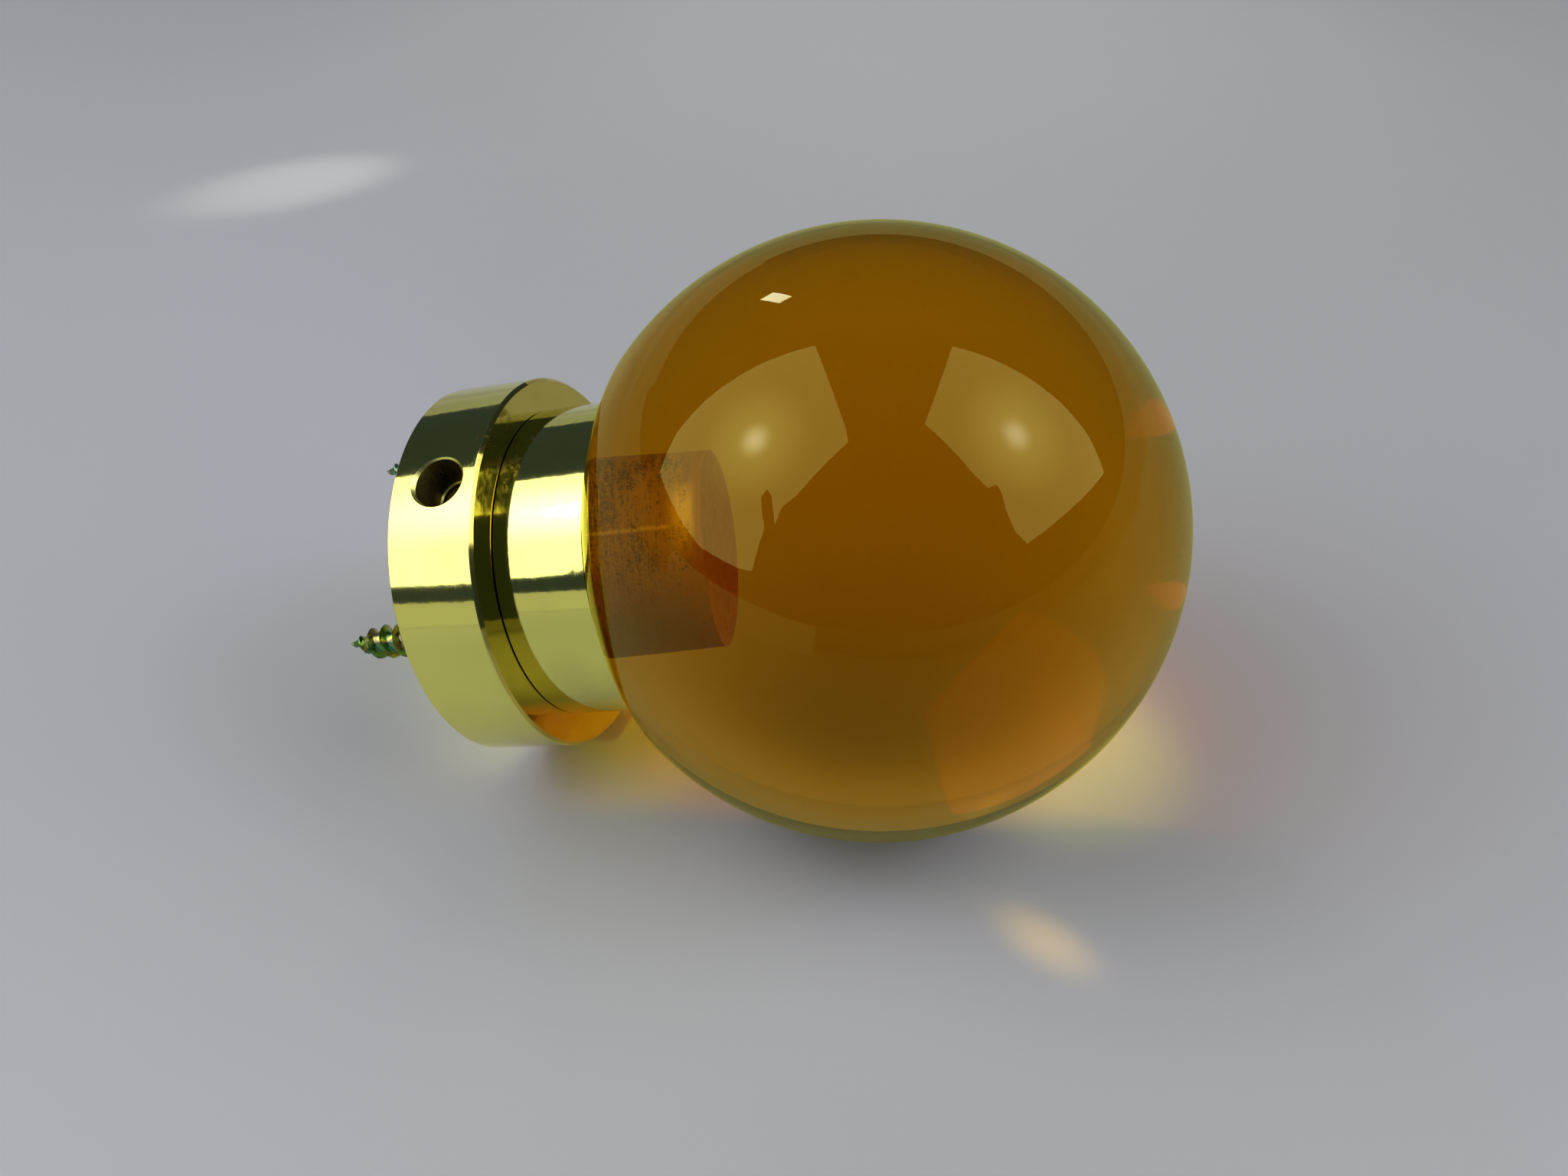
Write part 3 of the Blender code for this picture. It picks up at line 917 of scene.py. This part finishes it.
# %% [markdown]
# ## The rosette
# The rosette is turned, then drilled: three countersunk seats with a well above each head, and the
# side hole, which steps down from a plain part to the thread. Each drill is a turned cutter, and a
# Boolean takes it away. The faces that a cutter leaves keep its materials: dark where the drill
# ran, and bright on the two cut edges.

# %% Drill the rosette
WELL_RADIUS = 4.5 * MM
SCREW_HOLE_RADIUS = 2.55 * MM
DRILL_ROUND = 128
ACCESS_RADIUS = 3.2 * MM
ACCESS_DEPTH = 5.0 * MM
ACCESS_CHAMFER = 0.22 * MM
THREAD_HOLE_RADIUS = 2.5 * MM
THREAD_DEPTH = 0.22 * MM
STEP_EDGE = 0.2 * MM
PAST = 1.0 * MM  # how far a cutter stands out of what it cuts

rosette_profile = [
    (0, 0),
    (ROSETTE_RADIUS - REAR_EDGE, 0),
    (ROSETTE_RADIUS, REAR_EDGE),
    (ROSETTE_RADIUS, FACE - ROSETTE_EDGE),
    (ROSETTE_RADIUS - ROSETTE_EDGE, FACE),
    (SOCKET_RADIUS + SOCKET_CHAMFER, FACE),
    (SOCKET_RADIUS, FACE - SOCKET_CHAMFER),
    (SOCKET_RADIUS, WEB_THICKNESS),
    (0, WEB_THICKNESS),
]
rosette_mesh = turned_mesh("rosette_disc", rosette_profile, LARGE_ROUND)
rosette = new_object("rosette_disc", rosette_mesh, [polished_brass])

head_top = FACE - WOOD_HEAD_SUNK
cone_top = head_top - 0.5 * MM + GAP - GAP * math.sqrt(2)
seat_cutter = [
    (0, -PAST),
    (SCREW_HOLE_RADIUS, -PAST),
    (SCREW_HOLE_RADIUS, cone_top - (WELL_RADIUS - SCREW_HOLE_RADIUS)),
    (WELL_RADIUS, cone_top),
    (WELL_RADIUS, FACE + PAST),
    (0, FACE + PAST),
]
wall_at_hole = math.sqrt(ROSETTE_RADIUS**2 - ACCESS_RADIUS**2)
mouth = ACCESS_RADIUS + ACCESS_CHAMFER + (ROSETTE_RADIUS - wall_at_hole)
step_height = ROSETTE_RADIUS - ACCESS_DEPTH
grooves = [(THREAD_HOLE_RADIUS - THREAD_DEPTH, SOCKET_RADIUS / 2)]
while grooves[-1][1] < step_height - 2 * GRUB_PITCH:
    height = grooves[-1][1]
    grooves.append((THREAD_HOLE_RADIUS, height + 0.5 * GRUB_PITCH))
    grooves.append((THREAD_HOLE_RADIUS - THREAD_DEPTH, height + GRUB_PITCH))
side_cutter = [
    (0, SOCKET_RADIUS / 2),
    *grooves,
    (THREAD_HOLE_RADIUS, grooves[-1][1] + 0.5 * GRUB_PITCH),
    (THREAD_HOLE_RADIUS, step_height - STEP_EDGE),
    (THREAD_HOLE_RADIUS + STEP_EDGE, step_height),
    (ACCESS_RADIUS, step_height),
    (ACCESS_RADIUS, wall_at_hole - ACCESS_CHAMFER),
    (mouth + PAST, ROSETTE_RADIUS + PAST),
    (0, ROSETTE_RADIUS + PAST),
]


def drill(piece, profile, place, bright=()):
    """Takes away a turned cutter. bright names the steps of its profile that leave a cut edge."""
    mesh = turned_mesh("cutter", profile, DRILL_ROUND)
    cutter = new_object("cutter", mesh, [drilled_brass, rim_brass])
    for face in mesh.polygons:
        face.material_index = int(face.index // DRILL_ROUND in bright)
    cutter.data.transform(place)
    boolean = piece.modifiers.new("drill", "BOOLEAN")
    boolean.operation, boolean.solver, boolean.object = "DIFFERENCE", "EXACT", cutter
    boolean.material_mode = "TRANSFER"
    graph = bpy.context.evaluated_depsgraph_get()
    drilled = bpy.data.meshes.new_from_object(piece.evaluated_get(graph), depsgraph=graph)
    piece.modifiers.remove(boolean)
    piece.data = drilled
    bpy.data.objects.remove(cutter)


for name in screw_names:
    drill(rosette, seat_cutter, Matrix.Translation(screw_spots[name]))
step_edge, mouth_edge = len(side_cutter) - 6, len(side_cutter) - 3
drill(rosette, side_cutter, stand_on(hole_way, hole_foot), (step_edge, mouth_edge))
print("the drilled rosette has", len(rosette.data.polygons), "faces")

# %% [markdown]
# ## True directions
# A drilled hole breaks up the facets round it, which would smear a mirror finish. So every corner
# gets the true direction of the turned surface that it lies on, as a custom normal.


# %% True directions on the drilled rosette
def true_normals(mesh, surfaces):
    """Gives each corner the exact direction of the turned surface that its face lies on.

    surfaces holds pairs of functions of a corner: whether it lies there, and the direction."""
    mesh.update()
    wanted = [Vector(corner.vector) for corner in mesh.corner_normals]
    for face in mesh.polygons:
        corners = [mesh.vertices[i].co for i in face.vertices]
        for test, direction in surfaces:
            if all(test(corner) for corner in corners):
                for loop in face.loop_indices:
                    wanted[loop] = direction(mesh.vertices[mesh.loops[loop].vertex_index].co)
                break
    mesh.normals_split_custom_set([tuple(each) for each in wanted])


NEAR = 0.003 * MM
FACET_DEPTH = 0.02 * MM


def on_side(point):
    low, high = REAR_EDGE - NEAR, FACE - ROSETTE_EDGE + NEAR
    return math.hypot(point.x, point.y) > ROSETTE_RADIUS - FACET_DEPTH and low < point.z < high


polished_surfaces = [
    (lambda p: abs(p.z - FACE) < NEAR, lambda p: Vector((0, 0, 1))),
    (lambda p: abs(p.z) < NEAR, lambda p: Vector((0, 0, -1))),
    (on_side, lambda p: Vector((p.x, p.y, 0)).normalized()),
]
rosette.data.shade_smooth()
rosette.data.set_sharp_from_angle(angle=CREASE)
true_normals(rosette.data, polished_surfaces)
rosette.data.transform(TO_ROW.to_4x4())
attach(rosette, "rosette")
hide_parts("rosette")
print("rosette_disc rides on the rosette body")

# %% [markdown]
# ## The pieces that stay as packed
# The insert, the cement sleeve and the centre screw are inside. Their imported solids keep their
# shapes and only get a finish.

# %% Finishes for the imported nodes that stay
finishes = {"ball_insert": turned_brass, "cement_sleeve": cement, "centre_screw": plain_steel}
for node, paint in finishes.items():
    piece = frame["nodes"][node]
    piece.data.materials.clear()
    piece.data.materials.append(paint)
    print(node, "gets", paint.name)

# %% [markdown]
# ## The table
# A pale, slightly glossy board, turned up into a low wall all round like a studio's sweep. It is
# one more turned piece. The wall is low, so that dark room is left above it, and polished brass
# needs that dark to look polished.

# %% The sweep
SWEEP_CENTRE = Vector((0.0, -0.35, floor_level))
SWEEP_RADIUS = 0.92
SWEEP_RISE = 0.187
SWEEP_BEND = 0.10

BOARD_DARK, BOARD_LIGHT = (0.475, 0.48, 0.41), (0.495, 0.50, 0.43)

sweep_profile = [(0, 0)] + [(SWEEP_RADIUS * share / 6, 0) for share in range(1, 7)]
for part in range(1, 9):
    bend = math.pi / 2 * part / 8
    radius = SWEEP_RADIUS + SWEEP_BEND * math.sin(bend)
    sweep_profile.append((radius, SWEEP_BEND * (1 - math.cos(bend))))
sweep_profile.append((SWEEP_RADIUS + SWEEP_BEND, SWEEP_RISE))


def make_board():
    made, shader, wire = new_material("pale_board", {"Specular IOR Level": 0.35})
    cloud = noise(object_place(wire), 6.0, 3.0)
    wire.feed(shader.inputs["Base Color"], mix(cloud, BOARD_DARK, BOARD_LIGHT))
    wire.feed(shader.inputs["Roughness"], cloud.ramp(0.3, 0.7, 0.34, 0.42))
    return made


sweep_mesh = turned_mesh("table_sweep", sweep_profile, 96)
sweep_mesh.flip_normals()
sweep = new_object("table_sweep", sweep_mesh, [make_board()])
sweep_mesh.transform(Matrix.Translation(SWEEP_CENTRE))
sweep_mesh.shade_smooth()
sweep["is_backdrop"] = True
print("the sweep is", round(2 * (SWEEP_RADIUS + SWEEP_BEND), 2), "m across")

# %% [markdown]
# ## Soft boxes
# Two soft boxes stand left and right of the table. Each is a glowing sheet, brighter where its lamp
# sits. They light the table, and they are what the ball and the brass reflect. A small high window
# behind gives one more glint. Each sheet is one polygon, and its UV map places the lamp on it.


# %% Soft boxes
DAYLIGHT = (1.0, 1.0, 1.15)
LAMP = (1.0, 1.0, 2.4)
SHEET_BACK = 0.02

ball_spot = TO_ROW @ Vector((0, 0, BALL_CENTRE))


def light_sheet(name, way, distance, outline, lamp_at, levels):
    """A glowing sheet that faces the ball. Its outline and its lamp's spot are in metres on it.

    levels is how bright it is far from the lamp, near it, and right in front of it."""
    way = Vector(way).normalized()
    side = way.cross(Vector((0, 0, 1))).normalized()
    rise = side.cross(way)
    made, shader, wire = new_material(name, {})
    wire.tree.nodes.remove(shader)
    spot = wire.node("ShaderNodeUVMap", {"uv_map": "sheet"})
    off = spot.vector("DISTANCE", spot, (*lamp_at, 0)).out("Value") / distance
    edge, glow, core = levels
    middle_share = off.ramp(0.0, 0.12, 1.0, 0.0)
    strength = off.ramp(0.05, 0.40, glow, edge) + middle_share * core
    colour = mix(middle_share, DAYLIGHT, LAMP)
    lit = wire.node("ShaderNodeEmission", {}, {"Color": colour, "Strength": strength})
    back = wire.node("ShaderNodeEmission", {}, {"Strength": SHEET_BACK})
    behind = wire.node("ShaderNodeNewGeometry").out("Backfacing")
    surface = wire.node("ShaderNodeMixShader", {}, {0: behind, 1: lit, 2: back})
    wire.feed(made.node_tree.nodes["Material Output"].inputs["Surface"], surface)
    middle = ball_spot + way * distance
    mesh = bpy.data.meshes.new(name)
    corners = [middle + side * x + rise * y for x, y in outline]
    mesh.from_pydata(corners, [], [range(len(outline))])
    if mesh.polygons[0].normal.dot(way) > 0:
        mesh.flip_normals()
    layer = mesh.uv_layers.new(name="sheet")
    for loop in mesh.loops:
        layer.data[loop.index].uv = outline[loop.vertex_index]
    sheet = new_object(name, mesh, [made])
    sheet.visible_camera = False
    sheet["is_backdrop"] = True
    print(name, "stands", distance, "m from the ball")
    return sheet


LEFT_OUTLINE = [
    (0.40, 0.52), (-0.20, 0.49), (-0.28, 0.47), (-0.365, 0.085), (-0.36, -0.02), (-0.41, -0.11),
    (-0.28, -0.03), (-0.23, -0.025), (-0.24, -0.075), (-0.38, -0.165), (-0.51, -0.415),
    (-0.42, -0.46), (-0.15, -0.525), (0.35, -0.465), (0.41, -0.28), (0.415, -0.06),
]
LEFT_WAY, LEFT_LEVELS = (-0.658, -0.288, 0.698), (1.95, 3.9, 5.5)
light_sheet("soft_box_left", LEFT_WAY, 0.85, LEFT_OUTLINE, (0.014, 0.049), LEFT_LEVELS)

RIGHT_OUTLINE = [
    (-0.39, 0.46), (0.23, 0.53), (0.29, 0.37), (0.38, 0.145), (0.405, 0.02), (0.35, -0.015),
    (0.37, -0.06), (0.445, -0.145), (0.515, -0.28), (0.515, -0.405), (0.185, -0.475),
    (-0.25, -0.59), (-0.32, -0.40), (-0.35, -0.18), (-0.365, 0.08),
]
RIGHT_WAY, RIGHT_LEVELS = (0.672, 0.016, 0.741), (1.85, 3.6, 4.0)
light_sheet("soft_box_right", RIGHT_WAY, 1.0, RIGHT_OUTLINE, (0.025, 0.005), RIGHT_LEVELS)

WINDOW_OUTLINE = [(-0.067, -0.068), (0.014, -0.047), (0.031, 0.13), (-0.052, 0.116)]
WINDOW_WAY, WINDOW_LEVELS = (-0.492, 0.654, 0.575), (6.0, 9.0, 0.0)
window = light_sheet("high_window", WINDOW_WAY, 1.4, WINDOW_OUTLINE, (0, 0.03), WINDOW_LEVELS)
window.visible_transmission = False

# %% [markdown]
# ## White cards
# Polished metal needs something pale to mirror in its shadows, so two low cards are propped round
# it. They glow evenly, as lit cards would look, and only what is glossy sees them, so they don't
# light the table.


# %% White cards
def white_card(name, way, away, width, height, level):
    """An upright card on the table, so many degrees round the object, which glows evenly."""
    way = Vector((math.cos(math.radians(way)), math.sin(math.radians(way)), 0))
    side = way.cross(Vector((0, 0, 1))) * (width / 2)
    foot, top = Vector((0, 0, floor_level)) + way * away, Vector((0, 0, height))
    mesh = bpy.data.meshes.new(name)
    corners = [foot - side, foot + side, foot + side + top, foot - side + top]
    mesh.from_pydata(corners, [], [(0, 1, 2, 3)])
    constants = {"Base Color": (0, 0, 0, 1), "Specular IOR Level": 0.0}
    constants |= {"Emission Color": (1.0, 1.0, 1.0, 1.0), "Emission Strength": level}
    card = new_object(name, mesh, [new_material(name, constants)[0]])
    card.visible_camera = card.visible_diffuse = card.visible_transmission = False
    card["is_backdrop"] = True
    print(name, "is", width, "m wide")


white_card("front_card", -125, 0.50, 0.55, 0.10, 0.48)
white_card("back_card", 132, 0.75, 0.52, 0.225, 0.31)

# %% [markdown]
# ## The room
# The room is dark and a little blue for all that mirrors it. Only where it is seen straight is it
# a pale backdrop, so that the object never stands against black.

# %% The room
ROOM = (0.030, 0.042, 0.070)
BACKDROP = (0.42, 0.425, 0.43)

world = bpy.data.worlds.new("dark_room")
bpy.context.scene.world = world
world.use_nodes = True
room = Wire(world.node_tree)
seen_straight = room.node("ShaderNodeLightPath").out("Is Camera Ray")
sky = mix(seen_straight, ROOM, BACKDROP)
room.feed(world.node_tree.nodes["Background"].inputs["Color"], sky)
print("the room is", world.name)

# %% [markdown]
# ## Pools of light
# The ball is a lens: it gathers the light of the soft boxes into yellow patches on the table. Path
# tracing finds them, but too orange, so small soft-edged lamps add some yellow there. Two more give
# the table the pools that a studio lamp leaves. No reflection shows these lamps. `blur_glossy` is
# 0, because its usual value smears what the ball gathers.

# %% Pools of light
LAMP_AWAY = 0.4  # metres from the spot it lights
LAMP_SIZE = 0.002
BOARD_POWER = 6.5  # watts per square metre and level that the board needs


def gleam(name, spot, way, radius, colour, level):
    """A small lamp with a soft edge, that lights only the table round one spot."""
    way = Vector(way).normalized()
    lamp = bpy.data.lights.new(name, "SPOT")
    lamp.spot_size, lamp.spot_blend = 2 * math.atan(radius / LAMP_AWAY), 1.0
    lamp.shadow_soft_size = LAMP_SIZE
    lamp.color = colour
    lamp.energy = level * BOARD_POWER * 4 * math.pi * LAMP_AWAY**2 / way.z
    made = new_object(name, lamp)
    made.location = Vector((*spot, floor_level)) + way * LAMP_AWAY
    made.rotation_euler = (-way).to_track_quat("-Z", "Y").to_euler()
    made.visible_glossy = made.visible_transmission = False
    print(name, "lights", round(radius * 2000), "mm of the table")


WHITE, YELLOW, DEEP_YELLOW = (1.0, 1.0, 1.0), (0.82, 1.0, 0.0), (0.80, 1.0, 0.0)
gleam("gleam_far", (0.02, 0.36), (0.0, 0.3, 1.0), 0.26, WHITE, 0.09)
gleam("gleam_behind", (-0.1275, 0.168), (0.70, 0.62, 0.62), 0.021, WHITE, 0.15)
gleam("gleam_right", (0.080, 0.003), (0.5, -0.1, 0.85), 0.0205, YELLOW, 0.15)
gleam("gleam_under_neck", (0.022, -0.006), (-0.1, -0.7, 0.7), 0.014, DEEP_YELLOW, 0.06)
gleam("gleam_front", (0.0800, -0.0298), (0.78, -0.40, 0.55), 0.0043, (1.0, 0.60, 0.0), 0.24)

bpy.context.scene.view_settings.view_transform = "Standard"
bpy.context.scene.cycles.blur_glossy = 0.0

# %% [markdown]
# ## The camera
# A wide lens close to the object, a little above it, gives the same strong perspective as a small
# camera held near a table.

# %% The camera
CAMERA_PLACE = Vector((0.06263, -0.11593, 0.10803))
CAMERA_LOOKS = Vector((-0.13847, 0.73386, -0.66503))
LENS, FILM_WIDTH = 27.14, 36.0  # mm

camera = bpy.data.objects.new("camera", bpy.data.cameras.new("camera"))
bpy.context.scene.collection.objects.link(camera)
camera.location = CAMERA_PLACE
camera.rotation_euler = CAMERA_LOOKS.to_track_quat("-Z", "Y").to_euler()
camera.data.lens, camera.data.sensor_width = LENS, FILM_WIDTH
camera.data.clip_start = 5 * MM
bpy.context.scene.camera = camera
camera_away = (CAMERA_PLACE - ball_spot).length
print("the camera is", round(camera_away * 1000), "mm from the middle of the ball")

# %% [markdown]
# ## The size
# The size of the visual model is printed, as that of the imported one was at the start.

# %% Print the visual size, and finish
visual_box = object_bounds()
visual_size = visual_box[1] - visual_box[0]
print("the visual model measures, in mm:", [round(side * 1000, 1) for side in visual_size])
